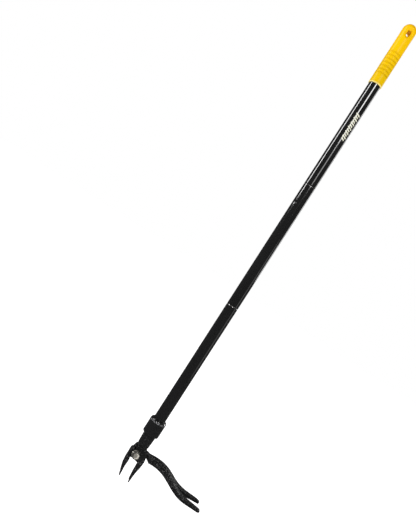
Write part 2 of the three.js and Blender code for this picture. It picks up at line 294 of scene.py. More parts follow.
def cast_paint(name, glint_chips_shown, shine):
    """Semi-gloss black over a rough casting: hammered bumps, pits painted darker as painted shade, edges worn
    bright that also stand for painted edge highlights, and small bright chips that are painted glints.

    The second argument is the share of those painted glint chips that show. They fade out along the foot
    lever.
    """
    s = Shader(name)
    lumps = s.ramp(s.cells(300.0, "SMOOTH_F1"), 0.0, 0.7)
    grain = s.noise(1500.0, 5.0, 0.6)
    waves = s.noise(95.0, 3.0)
    pits = s.ramp(s.cells(950.0), 0.0, 0.28, 1.0, 0.0)
    worn_and_lit_edges = s.times(s.edges(0.53, 0.63), s.ramp(s.noise(140.0, 4.0), 0.35, 0.62))
    base = s.mix(s.ramp(waves, 0.3, 0.7), grey(0.0045), grey(0.009))
    # Painted shade: the pits are painted darker.
    base = s.mix(s.times(pits, 0.4), base, grey(0.002))
    base = s.mix(s.times(s.ramp(grain, 0.62, 0.75), 0.35), base, grey(0.04))
    # Edges worn bright, which also stand for painted edge highlights.
    base = s.mix(s.times(worn_and_lit_edges, 0.5), base, grey(0.12))
    # Painted glints: small bright chips that stand for the hammered surface's glints, faded out along the
    # lever.
    flecks = s.ramp(s.noise(760.0, 6.0, 0.7), 0.56, 0.66)
    chips_and_glints = s.times(flecks, s.ramp(s.noise(70.0), 0.38, 0.55))
    near = s.ramp(s.axis("X"), GLINT_CHIPS_END * MM, GLINT_CHIPS_FULL * MM)
    base = s.mix(s.times(chips_and_glints, near, glint_chips_shown), base, grey(0.20))
    rough = s.ramp(s.noise(300.0, 4.0), 0.3, 0.7, 0.16, 0.30)
    rough = s.maths("SUBTRACT", rough, s.times(worn_and_lit_edges, 0.08))
    normal = s.bump(lumps, 0.9, 0.0012)
    normal = s.bump(grain, 0.30, 0.00025, normal)
    normal = s.bump(s.times(pits, -1.0), 0.18, 0.0003, normal)
    return s.finish(Base_Color=base, Roughness=rough, Normal=normal, Specular_IOR_Level=shine)


def zinc_plate(name="bright_zinc", stain=0.0, lit_spot=None):
    """Bright zinc: faint warm patches, turned marks and hollows made darker. Stain greys the whole of it.

    Where the point is given, as its x and z, the plating is painted dark away from it, as painted shade.
    """
    s = Shader(name)
    patches = s.noise(260.0, 4.0)
    grain = s.noise(2200.0, 3.0, stretch=(1, 0.15, 1))
    base = s.mix(s.ramp(patches, 0.35, 0.68), (0.93, 0.89, 0.80, 1), (0.74, 0.69, 0.60, 1))
    hollow = s.ramp(s.pointiness(), 0.40, 0.49, 1.0, 0.0)
    base = s.mix(s.times(hollow, 0.7), base, (0.10, 0.095, 0.085, 1))
    base = s.mix(stain, base, (0.03, 0.03, 0.028, 1))
    if lit_spot:
        # Painted shade: black is laid over the plating away from the given point.
        across = s.maths("SUBTRACT", s.axis("X"), lit_spot[0] * MM)
        along = s.maths("SUBTRACT", s.axis("Z"), lit_spot[1] * MM)
        square = s.maths("ADD", s.times(across, across), s.times(along, along))
        painted_shade = s.ramp(square, (LIT_R * MM) ** 2, (SHADED_R * MM) ** 2)
        base = s.mix(s.times(painted_shade, 0.9), base, grey(0.01))
    rough = s.ramp(s.noise(600.0, 3.0), 0.3, 0.7, 0.16, 0.34)
    normal = s.bump(grain, 0.15, 0.00008)
    return s.finish(Base_Color=base, Metallic=0.55, Roughness=rough, Normal=normal)


def machined_steel():
    """Plain turned steel with fine rings across the pole's axis."""
    s = Shader("machined_steel")
    rings = s.noise(2600.0, 2.0, stretch=(0.02, 0.02, 1))
    patches = s.noise(180.0, 4.0)
    base = s.mix(s.ramp(patches, 0.35, 0.7), (0.62, 0.61, 0.60, 1), (0.42, 0.41, 0.40, 1))
    rough = s.ramp(rings, 0.3, 0.7, 0.20, 0.42)
    return s.finish(Base_Color=base, Metallic=1.0, Roughness=rough, Normal=s.bump(rings, 0.2, 0.00006))


def yellow_plastic():
    """Moulded plastic, orange at its tip, pale at its lower rim, painted brighter over its upper body as
    painted light and darker orange in its grooves as painted shade.

    It has faint flow lines and tiny specks.
    """
    s = Shader("yellow_grip_plastic")
    flow = s.noise(60.0, 4.0, stretch=(1, 1, 0.35))
    fine = s.noise(1700.0, 3.0)
    specks = s.ramp(s.cells(700.0), 0.0, 0.12, 1.0, 0.0)
    height = s.axis("Z")
    upper = s.ramp(height, GRIP_LIT_LOW * MM, GRIP_LIT_HIGH * MM)
    tip = s.ramp(height, GRIP_TIP_LOW * MM, GRIP_TOP * MM)
    turn = s.times(s.maths("SUBTRACT", height, GROOVES_LOW * MM), 2 * math.pi / (GROOVE_PITCH * MM))
    groove_shade = s.ramp(s.maths("COSINE", turn), 0.1, -0.9)
    limits = (GROOVES_LOW - 1, GROOVES_LOW + 3, GROOVES_HIGH - 3, GROOVES_HIGH + 1)
    window = s.band(height, *(limit * MM for limit in limits))
    base = s.mix(s.ramp(flow, 0.3, 0.7), (0.78, 0.50, 0.001, 1), (0.75, 0.465, 0.001, 1))
    # Painted light: the upper body is painted brighter.
    base = s.mix(upper, base, (0.88, 0.525, 0.001, 1))
    base = s.mix(s.times(tip, 0.4), base, (0.86, 0.43, 0.001, 1))
    # Painted shade: the grooves are painted darker.
    base = s.mix(s.times(groove_shade, window, 0.3), base, (0.45, 0.23, 0.001, 1))
    rim = s.ramp(height, (GRIP_BOTTOM + 2.4) * MM, (GRIP_BOTTOM + 1.0) * MM)
    base = s.mix(rim, base, (0.86, 0.68, 0.22, 1))
    base = s.mix(s.times(specks, 0.04), base, (0.55, 0.30, 0.01, 1))
    rough = s.ramp(s.noise(320.0, 4.0), 0.3, 0.7, 0.30, 0.42)
    normal = s.bump(fine, 0.02, 0.00006)
    normal = s.bump(flow, 0.03, 0.0006, normal)
    return s.finish(Base_Color=base, Roughness=rough, Normal=normal, Specular_IOR_Level=0.1)


def nylon():
    """Mottled blue nylon."""
    s = Shader("blue_nylon")
    base = s.mix(s.ramp(s.noise(500.0), 0.3, 0.7), (0.03, 0.10, 0.30, 1), (0.05, 0.15, 0.42, 1))
    rough = s.ramp(s.noise(900.0), 0.3, 0.7, 0.4, 0.6)
    return s.finish(Base_Color=base, Roughness=rough, Normal=s.bump(s.noise(1500.0), 0.1, 0.0001))


def white_ink():
    """Screen-printed ink, a little worn, so the coat shows through in specks."""
    s = Shader("printed_ink")
    wear = s.ramp(s.noise(1400.0, 4.0), 0.64, 0.74)
    base = s.mix(wear, (0.80, 0.79, 0.64, 1), (0.30, 0.29, 0.24, 1))
    return s.finish(Base_Color=base, Roughness=s.ramp(wear, 0.0, 1.0, 0.42, 0.6),
                    Normal=s.bump(wear, 0.2, 0.00005))


# ---- Mesh helpers ----
def shade_smooth(target):
    for face in target.data.polygons:
        face.use_smooth = True


def to_object(bm, name, material):
    """Scales a millimetre bmesh to metres and makes it an object."""
    bmesh.ops.remove_doubles(bm, verts=bm.verts, dist=1e-5)
    bmesh.ops.recalc_face_normals(bm, faces=bm.faces)
    bmesh.ops.scale(bm, vec=(MM, MM, MM), verts=bm.verts)
    mesh = bpy.data.meshes.new(name)
    bm.to_mesh(mesh)
    bm.free()
    made = bpy.data.objects.new(name, mesh)
    bpy.context.scene.collection.objects.link(made)
    mesh.materials.append(material)
    shade_smooth(made)
    return made


def apply_modifiers(target):
    """Bakes the object's modifiers into its mesh."""
    graph = bpy.context.evaluated_depsgraph_get()
    baked = bpy.data.meshes.new_from_object(target.evaluated_get(graph))
    target.modifiers.clear()
    target.data = baked


def lathe(profile, sides=96, warp=None):
    """A closed turned solid about Z, from a run of (radius, z). Warp, if given, moves each point."""
    bm = bmesh.new()
    rings = []
    for radius, z in profile:
        if radius < 1e-6:
            rings.append([bm.verts.new((0, 0, z))])
            continue
        ring = []
        for side in range(sides):
            angle = 2 * math.pi * side / sides
            spot = Vector((radius * math.cos(angle), radius * math.sin(angle), z))
            ring.append(bm.verts.new(warp(spot) if warp else spot))
        rings.append(ring)
    closed = profile[0] == profile[-1]
    if closed:
        for vert in rings.pop():
            bm.verts.remove(vert)
        rings.append(rings[0])
    for low, high in zip(rings, rings[1:]):
        for side in range(sides):
            after = (side + 1) % sides
            corners = [low[side % len(low)], low[after % len(low)]]
            corners += [high[after % len(high)], high[side % len(high)]]
            corners = list(dict.fromkeys(corners))
            if len(corners) > 2:
                bm.faces.new(corners)
    return bm


def corner(centre, radius, start, end, steps):
    """Points round part of a circle, angles in degrees from its first axis."""
    points = []
    for step in range(steps + 1):
        angle = math.radians(start + (end - start) * step / steps)
        points.append((centre[0] + radius * math.cos(angle), centre[1] + radius * math.sin(angle)))
    return points


def run(start, end, count):
    """Evenly spaced profile points between two, leaving out the first."""
    return [tuple(start[k] + (end[k] - start[k]) * i / count for k in (0, 1)) for i in range(1, count + 1)]


def spline(points, samples):
    """A centripetal Catmull-Rom curve through 2D points, at even spacing along its length."""
    spots = [Vector(p) for p in points]
    spots = [2 * spots[0] - spots[1], *spots, 2 * spots[-1] - spots[-2]]
    dense = []
    for a, b, c, d in zip(spots, spots[1:], spots[2:], spots[3:]):
        t0, t1, t2 = ((b - a).length ** 0.5, (c - b).length ** 0.5, (d - c).length ** 0.5)
        m1 = ((b - a) / t0 - (c - a) / (t0 + t1) + (c - b) / t1) * t1
        m2 = ((c - b) / t1 - (d - b) / (t1 + t2) + (d - c) / t2) * t1
        for step in range(24):
            t = step / 24
            dense.append(b * (2 * t**3 - 3 * t**2 + 1) + m1 * (t**3 - 2 * t**2 + t)
                         + c * (3 * t**2 - 2 * t**3) + m2 * (t**3 - t**2))
    dense.append(spots[-2])
    length = [0.0]
    for a, b in zip(dense, dense[1:]):
        length.append(length[-1] + (b - a).length)
    even, index = [], 0
    for step in range(samples + 1):
        goal = length[-1] * step / samples
        while index < len(dense) - 2 and length[index + 1] < goal:
            index += 1
        part = (goal - length[index]) / (length[index + 1] - length[index])
        even.append(dense[index].lerp(dense[index + 1], part))
    return even


def smoothstep(value, low, high):
    t = min(max((value - low) / (high - low), 0.0), 1.0)
    return t * t * (3 - 2 * t)


def between(low, high, share):
    return low + (high - low) * share


def skin(bm, rings):
    """Closes a solid round a run of rings that have the same number of vertices."""
    for near, far in zip(rings, rings[1:]):
        for side in range(len(near)):
            after = (side + 1) % len(near)
            bm.faces.new((near[side], far[side], far[after], near[after]))
    bm.faces.new(rings[0])
    bm.faces.new(rings[-1][::-1])


def bar(points, steps, height, width, middle, section):
    """A bar swept along a curve in the XZ plane.

    Section is its outline, one unit across. Height, width and middle give their size and the Y of the
    centre at a share of the length.
    """
    bm = bmesh.new()
    path = spline(points, steps)
    rings = []
    for step, centre in enumerate(path):
        share = step / steps
        along = (path[min(step + 1, steps)] - path[max(step - 1, 0)]).normalized()
        ring = []
        for across, sideways in section:
            up = across * height(share)
            ring.append(bm.verts.new((centre.x - along.y * up, middle(share) + sideways * width(share),
                                      centre.y + along.x * up)))
        rings.append(ring)
    skin(bm, rings)
    return bm


def superellipse(power, sides=40):
    """A squared oval, one unit across each way."""
    outline = []
    for side in range(sides):
        angle = 2 * math.pi * (side + 0.5) / sides
        c, s = math.cos(angle), math.sin(angle)
        outline.append((math.copysign(abs(c) ** power, c) / 2, math.copysign(abs(s) ** power, s) / 2))
    return outline


def arc(radius, start, end, steps=24):
    """Points round the origin, angles in degrees."""
    return corner((0, 0), radius, start, end, steps)


def curve(start, control, end, steps=8):
    """Points of a quadratic curve, leaving out the first."""
    out = []
    for i in range(1, steps + 1):
        t = i / steps
        shares = ((1 - t) ** 2, 2 * t * (1 - t), t * t)
        spots = list(zip(shares, (start, control, end)))
        out.append(tuple(sum(part * spot[k] for part, spot in spots) for k in (0, 1)))
    return out


def plate(outline, low, high, edge=0.8):
    """An outline in the XZ plane with thickness along Y and rounded edges."""
    bm = bmesh.new()
    skin(bm, [[bm.verts.new((x, y, z)) for x, z in outline] for y in (low, high)])
    bmesh.ops.recalc_face_normals(bm, faces=bm.faces)
    if edge:
        rims = [e for e in bm.edges if abs(e.verts[0].co.y - e.verts[1].co.y) < 1e-6]
        bmesh.ops.bevel(bm, geom=rims, offset=edge, offset_type="OFFSET", segments=3, profile=0.5,
                        affect="EDGES", clamp_overlap=True)
    return bm


def drum(radius, low, high, edge=0.0, sides=64):
    """A cylinder along Y, whose rims may be chamfered."""
    return turned_y([(0, low), (radius - edge, low), (radius, low + edge),
                     (radius, high - edge), (radius - edge, high), (0, high)], sides)


def turned_y(profile, sides=64):
    """A turned solid about Y: each profile point is (radius, y)."""
    bm = lathe(profile, sides)
    bmesh.ops.rotate(bm, cent=(0, 0, 0), matrix=Matrix.Rotation(-math.pi / 2, 3, "X"), verts=bm.verts)
    return bm


def merge(parts):
    """Several bmeshes in one."""
    whole = bmesh.new()
    for part in parts:
        holder = bpy.data.meshes.new("part")
        part.to_mesh(holder)
        part.free()
        whole.from_mesh(holder)
        bpy.data.meshes.remove(holder)
    return whole


def moved(bm, offset, turn=0.0):
    """Turns a bmesh about Y through the origin, then moves it."""
    bmesh.ops.rotate(bm, cent=(0, 0, 0), matrix=Matrix.Rotation(turn, 3, "Y"), verts=bm.verts)
    bmesh.ops.translate(bm, vec=offset, verts=bm.verts)
    return bm


def cut(target, cutters, overlapping=False):
    """Takes closed bmeshes, in millimetres, out of an object, which may be made of overlapping solids."""
    for number, bm in enumerate(cutters):
        tool = to_object(bm, f"cutter_{number}", target.data.materials[0])
        boolean = target.modifiers.new("cut", "BOOLEAN")
        boolean.operation = "DIFFERENCE"
        boolean.solver = "EXACT"
        boolean.use_self = overlapping
        boolean.object = tool
        apply_modifiers(target)
        bpy.data.objects.remove(tool)
    shade_smooth(target)


def cast(target):
    """Fuses overlapping solids into one skin and softens its edges and inner corners, as a casting has."""
    remesh = target.modifiers.new("fuse", "REMESH")
    remesh.mode = "VOXEL"
    remesh.voxel_size = CAST_VOXEL * MM
    remesh.use_smooth_shade = True
    smooth = target.modifiers.new("soften", "SMOOTH")
    smooth.factor = 0.5
    smooth.iterations = CAST_ROUNDS
    apply_modifiers(target)
    shade_smooth(target)


def show(piece, body, slot, *nodes):
    """Says which body a piece rides and the CAD nodes that it takes the place of. Its slot argument is not
    used.
    """
    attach(piece, body)
    if nodes:
        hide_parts(*nodes)
    return piece


def sharp_shading(piece, degrees):
    """Smooth faces with creases kept at real edges."""
    bm = bmesh.new()
    bm.from_mesh(piece.data)
    for edge in bm.edges:
        edge.smooth = edge.calc_face_angle(0.0) < math.radians(degrees)
    bm.to_mesh(piece.data)
    bm.free()


# ---- Grip ----
def groove_depth(spot):
    """Shallow cross grooves on the two broad sides of the grip, fading out before its edges."""
    if not GROOVES_LOW < spot.z < GROOVES_HIGH:
        return 0.0
    facing = abs(spot.y) / math.hypot(spot.x, spot.y)
    fade = smoothstep(facing, 0.35, 0.8)
    ends = smoothstep(spot.z, GROOVES_LOW, GROOVES_LOW + 4)
    ends *= 1 - smoothstep(spot.z, GROOVES_HIGH - 4, GROOVES_HIGH)
    wave = 0.5 - 0.5 * math.cos(2 * math.pi * (spot.z - GROOVES_LOW) / GROOVE_PITCH)
    return GROOVE_DEPTH * fade * ends * wave**1.6


def drawn_in(spot, radius, depth):
    """A point at a radius from the Z axis, moved towards it by a depth."""
    share = (radius - depth) / radius
    return Vector((spot.x * share, spot.y * share, spot.z))


def grip_warp(spot):
    """Presses the grooves and the two dishes round the hang hole into the grip's outside."""
    radius = math.hypot(spot.x, spot.y)
    if radius < GRIP_SKIN_R:
        return spot
    depth = groove_depth(spot)
    lip = math.hypot(spot.x / DISH_ACROSS, spot.z / DISH_ALONG)
    if abs(spot.y) > BROAD_SIDE:
        depth += DISH_DEPTH * (1 - smoothstep(lip, DISH_FLOOR, DISH_RIM))
    return drawn_in(spot, radius, depth)


def make_grip(material):
    """One moulding: lower band, grooved body, domed end, the bore for the tube and the hang hole."""
    bore = POLE_R + 0.12
    body = GRIP_R - GRIP_INSET
    edge, within = 0.9, 0.05
    band_top = GRIP_BOTTOM + GRIP_BAND
    body_low, body_high = band_top + 1.2, -13.0
    profile = [(bore, GRIP_BOTTOM), *run((bore, GRIP_BOTTOM), (GRIP_R - edge, GRIP_BOTTOM), 3)]
    profile += corner((GRIP_R - edge, GRIP_BOTTOM + edge), edge, -90, 0, 6)
    profile += run((GRIP_R, GRIP_BOTTOM + edge), (GRIP_R, band_top), 2)
    profile += run((GRIP_R, band_top), (body, body_low), 3)
    profile += run((body, body_low), (body, body_high), 150)
    profile += run((body, body_high), (GRIP_R - within, GRIP_TOP - GRIP_R), 34)
    dome = corner((0, GRIP_TOP - GRIP_R), GRIP_R, 0, 90, 26)
    profile += [(max(radius - within, 0.0), z) for radius, z in dome[1:-1]] + [(0.0, GRIP_TOP)]
    inner = [(0.0, GRIP_BORE_TOP), (bore, GRIP_BORE_TOP), (bore, GRIP_BOTTOM)]
    grip = to_object(lathe(inner + profile[1:], 128, grip_warp), "grip_shell", material)
    slot = corner((0, HANG_SLOT_HALF), HANG_SLOT_R, 0, 180, 16)
    slot += corner((0, -HANG_SLOT_HALF), HANG_SLOT_R, 180, 360, 16)
    cut(grip, [plate(slot, -20, 20, 0)])
    sharp_shading(grip, 50)
    return show(grip, "handle", "grip_yellow", "grip")


# ---- Pole ----
def dimple(spot, centre, degrees):
    """How far a punched crimp at a height and an angle round the pole pulls a point of the tube in."""
    away = math.atan2(spot.y, spot.x) - math.radians(degrees)
    across = POLE_R * math.atan2(math.sin(away), math.cos(away))
    return CRIMP_DEPTH * math.exp(-((math.hypot(across, spot.z - centre) / CRIMP_R * 1.5) ** 2))


def make_tube(name, low, high, crimps, material, node):
    """A length of tube with rounded ends; each crimp is its height and its angle round the pole."""

    def warp(spot):
        return drawn_in(spot, math.hypot(spot.x, spot.y), sum(dimple(spot, *crimp) for crimp in crimps))

    edge = 0.35
    steps = max(8, int((high - low) / 1.2))
    profile = [(TUBE_BORE_R, low), (POLE_R - edge, low)]
    profile += corner((POLE_R - edge, low + edge), edge, -90, 0, 4)[1:]
    profile += run((POLE_R, low + edge), (POLE_R, high - edge), steps)
    profile += corner((POLE_R - edge, high - edge), edge, 0, 90, 4)[1:]
    profile += [(TUBE_BORE_R, high), (TUBE_BORE_R, low)]
    tube = to_object(lathe(profile, 96, warp), name, material)
    sharp_shading(tube, 50)
    return show(tube, "handle", "pole_black", node)


def make_joint_ring(name, joint, material):
    """The bright shoulder of a screwed joint that shows between two sections."""
    low = joint - FLANGE + 0.02
    high = joint - 0.02
    middle = (low + high) / 2
    bore, face, rim = POLE_R - 1.4, POLE_R - 0.5, POLE_R - 0.12
    profile = [(bore, low), (face, low), (rim, low + 0.25), (rim, middle - 0.12), (POLE_R - 0.35, middle),
               (rim, middle + 0.12), (rim, high - 0.25), (face, high), (bore, high), (bore, low)]
    return show(to_object(lathe(profile), name, material), "handle", "plain_steel")


def make_print(material):
    """A plain printed mark on the upper pole: a row of slanted bars that spells nothing."""
    bars = []
    columns, rows = 12, 5
    for number in range(PRINT_BARS):
        low = PRINT_LOW + number * PRINT_PITCH
        start, finish = (-8, 38) if number % 2 else (-4, 30)
        bm = bmesh.new()
        grid = []
        for column in range(columns + 1):
            angle = math.radians(-90 + between(start, finish, column / columns))
            line = []
            for row in range(rows + 1):
                z = low + PRINT_BAR * row / rows - PRINT_SLANT * column / columns
                line.append((math.cos(angle), math.sin(angle), z))
            grid.append(line)
        layers = []
        for radius in (POLE_R - 0.05, POLE_R + 0.06):
            layers.append([[bm.verts.new((x * radius, y * radius, z)) for x, y, z in line] for line in grid])
        inner, outer = layers
        for c in range(columns):
            for r in range(rows):
                bm.faces.new((outer[c][r], outer[c + 1][r], outer[c + 1][r + 1], outer[c][r + 1]))
                bm.faces.new((inner[c][r], inner[c][r + 1], inner[c + 1][r + 1], inner[c + 1][r]))
        for c in range(columns):
            bm.faces.new((inner[c][0], inner[c + 1][0], outer[c + 1][0], outer[c][0]))
            bm.faces.new((inner[c][rows], outer[c][rows], outer[c + 1][rows], inner[c + 1][rows]))
        for r in range(rows):
            bm.faces.new((inner[0][r], outer[0][r], outer[0][r + 1], inner[0][r + 1]))
            bm.faces.new((inner[columns][r], inner[columns][r + 1], outer[columns][r + 1], outer[columns][r]))
        bars.append(bm)
    return show(to_object(merge(bars), "printed_bars", material), "handle", "pole_black")


# ---- Ferrule ----
def screw_hole(start):
    """The set screw's hole, 8 mm along X from a start."""
    hole = lathe([(0, 0), (SCREW_HOLE_R, 0), (SCREW_HOLE_R, 8.0), (0, 8.0)], 40)
    return moved(hole, (start, 0, SCREW_Z), math.pi / 2)


def make_ferrule(material):
    bore = POLE_R + 0.1
    upper, lower = FERRULE_RIM, FERRULE_LOWER_RIM
    profile = [(bore, FERRULE_BOTTOM)]
    profile += corner((FERRULE_R - lower, FERRULE_BOTTOM + lower), lower, -90, 0, 10)
    profile += run((FERRULE_R, FERRULE_BOTTOM + lower), (FERRULE_R, FERRULE_TOP - upper), 20)
    profile += corner((FERRULE_R - upper, FERRULE_TOP - upper), upper, 0, 86, 16)[1:]
    profile += [(bore, FERRULE_TOP - 0.5), (bore, FERRULE_BOTTOM)]
    ferrule = to_object(lathe(profile, 128), "ferrule_collar", material)
    cut(ferrule, [screw_hole(10.0)])
    sharp_shading(ferrule, 45)
    return show(ferrule, "handle", "pole_black", "socket_ferrule")


def make_set_screw(material):
    """A headless screw along X; the bore of its socket is pulled in to a hexagon."""
    profile = [(0, 0), (2.2, 0), (2.5, 0.3), (2.5, 5.9), (2.2, 6.3), (SOCKET_R, 6.3), (SOCKET_R, 4.6)]
    profile += [(0, 4.2)]
    bm = lathe(profile, 36)
    for vert in bm.verts:
        radius = math.hypot(vert.co.x, vert.co.y)
        if abs(radius - SOCKET_R) < 0.02:
            angle = math.atan2(vert.co.y, vert.co.x)
            flat = math.cos(math.pi / 6) / math.cos((angle % (math.pi / 3)) - math.pi / 6)
            vert.co.x *= flat
            vert.co.y *= flat
    screw = to_object(moved(bm, (8.5, 0, SCREW_Z), math.pi / 2), "set_screw_socket", material)
    sharp_shading(screw, 30)
    return show(screw, "handle", "plain_steel", "ferrule_set_screw")


# ---- Head casting ----
def neck():
    """The tapered neck and the spigot above it."""
    shoulder = FERRULE_BOTTOM - GAP
    end = shoulder - NECK_LENGTH
    edge = 3.2
    spigot, top = POLE_R - 0.2, POLE_END - GAP
    profile = [(0, end), *run((0, end), (NECK_END_R - edge, end), 4)]
    profile += corner((NECK_END_R - edge, end + edge), edge, -90, -4, 8)[1:]
    profile += run((NECK_END_R, end + 3.4), (NECK_TOP_R, shoulder - 1.0), 14)
    profile += [(NECK_TOP_R - 0.6, shoulder), (spigot, shoulder), (spigot, top), (0, top)]
    return lathe(profile)


def tongue_outline():
    """The head's flat tongue, seen along Y with the pin at the origin."""
    outline = [(-4.4, 26), (-4.4, 18.5)]
    outline += curve((-4.4, 18.5), (-5.2, 13), (-5.6, 6.5))
    outline += arc(TONGUE_R, 131, 262)
    outline += [(12, -12), (12.4, -20), (19, -20)]
    outline += curve((19, -20), (20.4, -15), (20.5, -7))
    outline += curve((20.5, -7), (20.5, 2), (16.2, 9))
    outline += curve((16.2, 9), (13.6, 14), (12.2, 18.5))
    return outline + [(12.2, 26)]


def bar_outline():
    """The cross bar that carries the tines and stops the lever."""
    outline = [(12.4, -21), (12.2, -11)]
    outline += curve((12.2, -11), (12.2, -9.8), (13.4, -9.6))
    outline += [(17.8, -8.9)]
    outline += curve((17.8, -8.9), (19.6, -8.6), (19.6, -10.4))
    return outline + [(19, -21)]


def mirrored(half):
    """A section's lower half and its mirror image, in one run."""
    return half + [(across, -sideways) for across, sideways in half[::-1]]


# A fixed tine has flat sides that meet in a ridge along its outer face. A curved claw has a broad flat back
# and narrows to the gripping edge.
TINE_SECTION = mirrored([(-0.5, -0.30), (-0.42, -0.46), (-0.2, -0.5), (0.12, -0.5), (0.34, -0.36),
                         (0.48, -0.1)])
CLAW_SECTION = mirrored([(-0.5, -0.38), (-0.44, -0.5), (-0.1, -0.5), (0.2, -0.4), (0.42, -0.24),
                         (0.5, -0.1)])


def prong(points, steps, height, point_start, sign, section):
    """A tine or claw on one side of the head, thinned over its length and drawn to a point at its end."""

    def tip(share):
        return 1 - 0.55 * smoothstep(share, point_start, 1.0) ** 2

    return bar(points, steps, lambda share: height(share) * tip(share),
               lambda share: between(5.6, 2.0, share**1.5) * tip(share), lambda share: sign * TINE_Y, section)


def straight_tine(sign):
    """A fixed tine, on the side of the middle plane that sign gives."""
    points = [(15.7, -11), (15.5, -21), (15.1, -32), (15.2, -42), (15.5, -CLAW_REACH)]
    return prong(points, 90, lambda share: between(8.8, 2.2, share**0.85), 0.93, sign, TINE_SECTION)


def make_head(material):
    """Spigot, neck, tongue, cross bar and tines in one casting, drilled for the bolt, stud and set screw."""
    boss = moved(drum(1.7, 8.0, 9.5, 0.3, 32), (15.7, 0, -15.0))
    lower = merge([plate(tongue_outline(), TONGUE_BACK, TONGUE_FRONT), plate(bar_outline(), -9.0, 9.0, 1.0),
                   straight_tine(-1), straight_tine(1), boss])
    head = to_object(merge([neck(), moved(lower, PIVOT)]), "head_cast", material)
    cast(head)
    stud = lathe([(0, POLE_END - 28), (6.3, POLE_END - 28), (6.3, POLE_END + 5), (0, POLE_END + 5)], 48)
    cut(head, [moved(drum(BOLT_R + 0.15, -20, 20), PIVOT), stud, screw_hole(8.0)])
    return show(head, "handle", "cast_black", "head_casting")


# ---- Lever casting, drawn closed and swung open to its stop ----
def cheek_outline():
    """The lever's cheek plate, seen along Y with the pin at the origin and the claws closed."""
    outline = [(30, 18.4), *curve((30, 18.4), (20, 15.4), (14.6, 15.8))]
    outline += arc(CHEEK_TOP_R, 60, 130, 20)
    outline += [(-12.6, 12.2), (-12.2, -0.8)]
    outline += arc(HUB_R, 186, 214, 8)
    outline += [(-5.6, -14)]
    outline += curve((-5.6, -14), (-4.4, -15.2), (-2.5, -14.2))
    return outline + [(19.4, -2.6), (24, 2)]


def curved_claw(sign):
    """A claw on the side that sign gives, slim at the hub and thickest two fifths of the way down."""
    points = [(-11.6, 1), (-11.1, -2.5), (-8.85, -7.2), (-5.8, -12.4), (-3, -18.9), (1.2, -30),
              (6.4, -39.4), (10.4, -46.6)]
    thickest = 0.39

    def height(share):
        if share < thickest:
            return between(3.2, 8.0, smoothstep(share, 0.05, thickest))
        return between(8.0, 2.2, ((share - thickest) / (1 - thickest)) ** 1.25)

    return prong(points, 110, height, 0.94, sign, CLAW_SECTION)


def foot_lever():
    """A bar that flattens and widens from the cheek plate to the fork's two ends."""
    points = [(4, -2), (14, 4), (25.3, 10), (37.5, 14.4), (49.6, 17), (61.5, 17.6), (74.5, 16.2),
              (87.5, 14.2), (100.5, 13.3), (112.6, 14.4), (124.6, 17.2), (135.7, 20.2), (LEVER_REACH, 23)]

    def rounded(share):
        return 1 - 0.1 * smoothstep(share, 0.965, 1)

    def height(share):
        return between(16.4, 5.0, smoothstep(share, 0, 1)) * rounded(share)

    def width(share):
        return between(7.6, FORK_WIDTH - 0.5, smoothstep(share, 0.1, 0.8)) * rounded(share)

    def middle(share):
        return between((CHEEK_BACK + CHEEK_FRONT) / 2, 0, smoothstep(share, 0.18, 0.6))

    return bar(points, 220, height, width, middle, superellipse(0.30))


def root_notch():
    """The open corner under the root of the foot lever, beside the fixed tines."""
    return plate([(19.6, -8), (19, 6.6), (28.2, 4.2), (34, -8)], -20, 20, 0)


def fork_notch():
    """The wedge between the prongs, with a round apex."""
    apex = LEVER_REACH - FORK_SLOT
    outline = [(LEVER_REACH + 5, -NOTCH_HALF), (LEVER_REACH + 5, NOTCH_HALF), (apex + 1.2, 1.4)]
    outline += curve((apex + 1.2, 1.4), (apex - 0.8, 0), (apex + 1.2, -1.4))[:-1]
    bm = bmesh.new()
    skin(bm, [[bm.verts.new((x, y, z)) for x, y in outline] for z in (-20, 60)])
    return bm


def make_lever(material):
    """Cheek plate, hub, claws and foot lever in one casting, bored for the bush."""
    bridge = arc(HUB_R, 150, 222) + arc(TONGUE_R + 0.6, 222, 150)
    parts = [plate(cheek_outline(), CHEEK_BACK, CHEEK_FRONT), plate(bridge, -TINE_Y - 2.6, CHEEK_FRONT, 0.6),
             curved_claw(-1), curved_claw(1), foot_lever()]
    lever = to_object(merge(parts), "lever_cast", material)
    cut(lever, [fork_notch(), root_notch()], overlapping=True)
    cast(lever)
    cut(lever, [drum(BUSH_R + 0.15, -20, 20)])
    turn = Matrix.Translation(PIVOT * MM) @ Matrix.Rotation(OPEN_ANGLE, 4, "Y")
    lever.data.transform(turn)
    return show(lever, "lever", "cast_black", "jaw_lever")


# ---- Pivot bolt, washers and lock nut ----
def hexagon(low, high, chamfer_low, chamfer_high):
    """A hexagonal prism along Y whose ends are turned to a chamfer, as bolt heads and nuts are."""
    bm = bmesh.new()
    sides, rings = 120, 14
    slope, face, none = 0.58, HEX_FLATS / 2 - 0.35, 99
    layers = []
    for ring in range(rings + 1):
        y = between(low, high, ring / rings)
        line = []
        for side in range(sides):
            angle = 2 * math.pi * side / sides
            flat = (angle + math.pi / 6) % (math.pi / 3) - math.pi / 6
            from_low = (y - low) / slope + face if chamfer_low else none
            from_high = (high - y) / slope + face if chamfer_high else none
            radius = min(HEX_FLATS / 2 / math.cos(flat), from_low, from_high)
            line.append(bm.verts.new((radius * math.cos(angle), y, radius * math.sin(angle))))
        layers.append(line)
    skin(bm, layers)
    return bm


def make_washer(name, low, material, node):
    bore, edge = BOLT_R + 0.25, 0.4
    rim = 7.1
    high = low + WASHER_THICK
    profile = [(bore, low), *corner((rim, low + edge), edge, -90, 0, 4),
               *corner((rim, high - edge), edge, 0, 90, 4), (bore, high), (bore, low)]
    washer = to_object(moved(turned_y(profile, 96), PIVOT), name, material)
    sharp_shading(washer, 40)
    show(washer, "handle", "zinc_steel", node)


